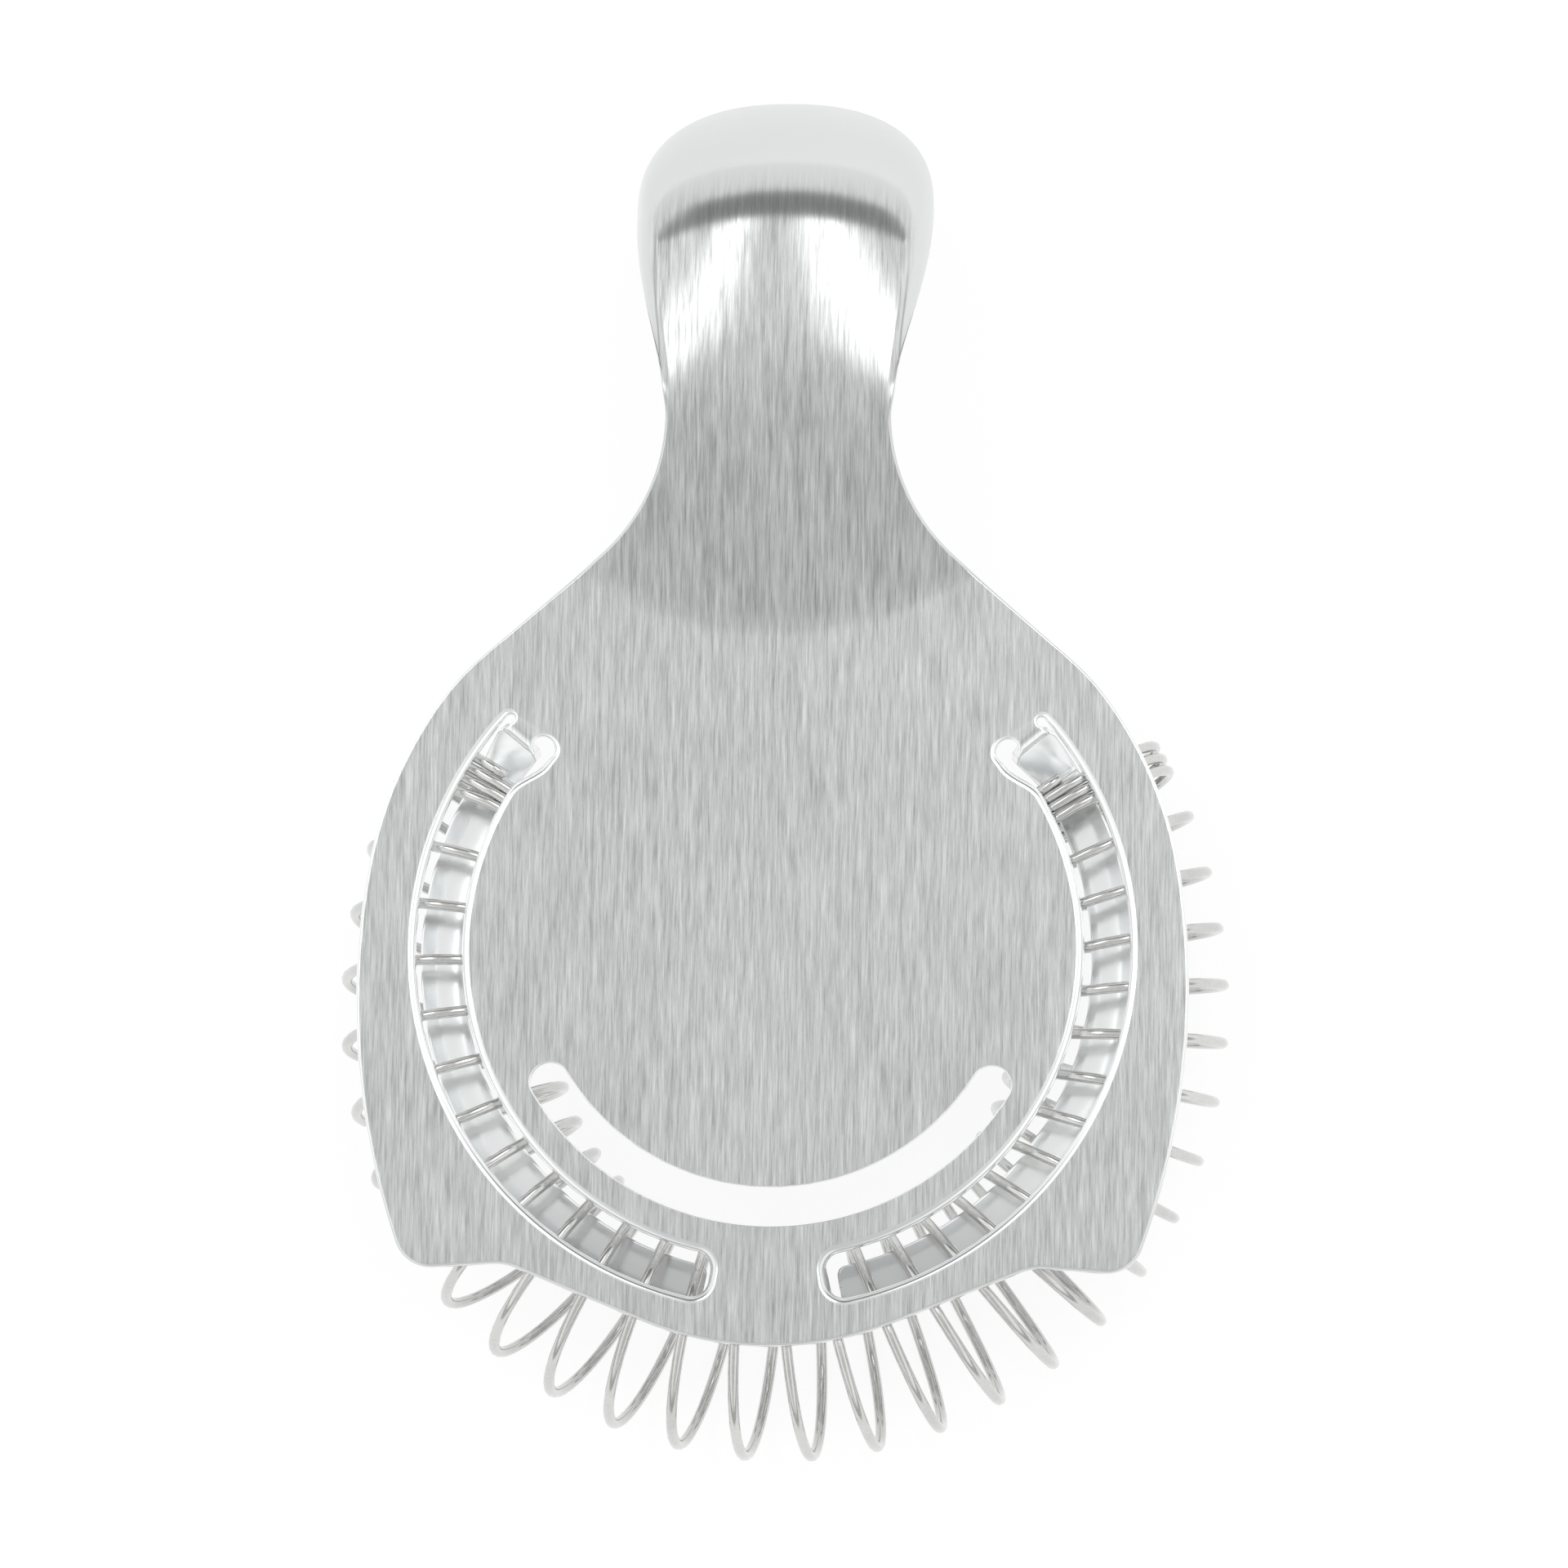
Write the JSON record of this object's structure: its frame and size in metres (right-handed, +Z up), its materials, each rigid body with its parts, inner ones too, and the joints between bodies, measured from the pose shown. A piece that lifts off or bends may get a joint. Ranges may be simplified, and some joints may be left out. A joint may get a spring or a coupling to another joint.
{
  "type": "hawthorne strainer",
  "caption": "Cocktail strainer with a flat pressed-steel head, turned-down handle, two curved strips and a removable coil spring under its rim.",
  "frame": {"origin": "centre of the ring of track slots, on the top face of the head plate", "axes": "+Z up out of the top face, +Y towards the handle, +X to the right seen from above with the handle away from the viewer"},
  "size_m": [0.1004, 0.1555, 0.0315],
  "materials": {
    "brushed_sheet": "satin brushed along the handle on top, smooth on the turned-down rim and strips",
    "spring_wire": "bright drawn stainless wire"
  },
  "bodies": {
    "strainer": {"strainer_body": "brushed_sheet"},
    "spring": {"coil_spring": "spring_wire"}
  },
  "joints": [
    {"name": "spring_squeeze", "type": "slide", "parent": "strainer", "child": "spring", "axis": [0, 1, 0], "range_m": [0, 0.0076], "stiffness_N_per_m": 60, "deforming": ["coil_spring"]}
  ]
}
